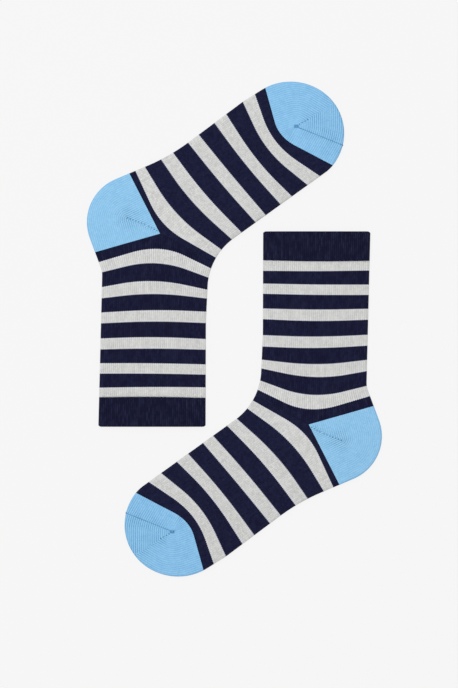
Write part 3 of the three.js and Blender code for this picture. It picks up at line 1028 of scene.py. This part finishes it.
def seamMaterial():
    material, shader = newMaterial("seamThread")
    nodes = Nodes(material.node_tree)
    shader["Roughness"].default_value = seam["roughness"]
    colour = nodes.mix(nodes.noise(seam["yarnNoise"]), dye("seamBlue"), dye("blueDeep"))
    nodes.link(colour, shader["Base Color"])
    return material


seamThread = seamMaterial()


def seamPiece(name, turned, upper):
    start, end = np.array(toe["corner"]), np.array(toe["seamEnd"])
    length = np.linalg.norm(end - start)
    places = np.linspace(0, 1, int(length / seam["step"]) + 1)
    line = start + (end - start) * places[:, None]
    depth = depthInside(line[None])[0]
    surface = outerTop if upper else outerBottom
    z = surface(line, depth, np.zeros(len(line)), 1, toe)        # the floor of a valley
    fromStart, fromEnd = places * length, length - places * length
    swelling = seam["swelling"] * np.abs(np.sin(math.pi * fromStart / seam["stitch"]))
    radius = seam["radius"] * (seam["thinnest"] + swelling)
    knot = np.exp(-(fromStart / seam["knotReach"]) ** 2)
    knot = knot + seam["endKnot"] * np.exp(-(fromEnd / seam["endReach"]) ** 2)
    radius = radius + (seam["knotRadius"] - seam["radius"]) * knot
    z = z if upper else z + radius        # under the toe it stays above the surface
    side = np.array((-(end - start)[1], (end - start)[0])) / length
    rings = []
    for i in range(seam["sides"]):
        a = 2 * math.pi * i / seam["sides"]
        xy = line + side * (radius * math.cos(a))[:, None]
        rings.append(np.column_stack([xy, z + radius * math.sin(a)]))
    points = np.stack(rings, axis=1)
    index = np.arange(len(line) * seam["sides"]).reshape(-1, seam["sides"])
    nextIndex = np.roll(index, -1, axis=1)
    quads = np.stack([index[:-1], nextIndex[:-1], nextIndex[1:], index[1:]], axis=-1).reshape(-1, 4)
    faces = quads.tolist() + [index[0][::-1].tolist(), index[-1].tolist()]
    mesh = bpy.data.meshes.new(name)
    mesh.from_pydata(placed(points.reshape(-1, 3), turned).tolist(), [], faces)
    piece = linkedPiece(name, mesh)
    mesh.materials.append(seamThread)
    return piece


# Both socks
zones = {"cuff": cuff, "leg": leg, "heel": heel, "foot": foot, "toe": toe}

for sockName, turned in (("left_sock", False), ("right_sock", True)):
    for zone, part in zones.items():
        node = f"{sockName}_{zone}"
        piece = clothPiece(f"{node}_cloth", part, turned)
        piece.data.materials.append(part["material"])
        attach(piece, "root")
        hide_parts(node)
        if zone == "toe":
            for place, upper in (("top", True), ("under", False)):
                thread = seamPiece(f"{node}_seam_{place}", turned, upper)
                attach(thread, "root")


# Floor, light and camera
print("studio")

paper = {"level": 246, "glow": 0.94, "base": 0.05, "size": 6, "height": -0.0001}
softBox = {"energy": 13.5, "size": 1.2, "place": (-0.7, 0.8, 1.5), "sky": 0.84}
view = {"place": (-0.0035, -0.0097, 1.245), "lens": 100.0, "sensor": 36.0}


def makeFloor():
    bpy.ops.mesh.primitive_plane_add(size=paper["size"], location=(0, 0, paper["height"]))
    floor = bpy.context.object
    floor.name = "floor"
    material, shader = newMaterial("floorPaper")
    glow = toLinear(paper["level"])
    shader["Base Color"].default_value = (paper["base"], paper["base"], paper["base"], 1)
    shader["Roughness"].default_value = 1.0
    shader["Specular IOR Level"].default_value = 0.0
    shader["Emission Color"].default_value = (glow, glow, glow, 1)
    shader["Emission Strength"].default_value = paper["glow"]
    floor.data.materials.append(material)


def makeLight():
    world = bpy.data.worlds.new("studio")
    bpy.context.scene.world = world
    world.use_nodes = True
    world.node_tree.nodes["Background"].inputs[0].default_value = (1, 1, 1, 1)
    world.node_tree.nodes["Background"].inputs[1].default_value = softBox["sky"]
    light = bpy.data.lights.new("softBox", "AREA")
    light.energy, light.size = softBox["energy"], softBox["size"]
    lamp = bpy.data.objects.new("softBox", light)
    lamp.location = softBox["place"]
    lamp.rotation_euler = (-Vector(softBox["place"])).to_track_quat("-Z", "Y").to_euler()
    bpy.context.collection.objects.link(lamp)


def makeCamera():
    data = bpy.data.cameras.new("camera")
    data.lens, data.sensor_width = view["lens"], view["sensor"]
    camera = bpy.data.objects.new("camera", data)
    camera.location = view["place"]
    bpy.context.collection.objects.link(camera)
    bpy.context.scene.camera = camera


makeFloor()
makeLight()
makeCamera()
bpy.context.scene.view_settings.view_transform = "Standard"

print("done")
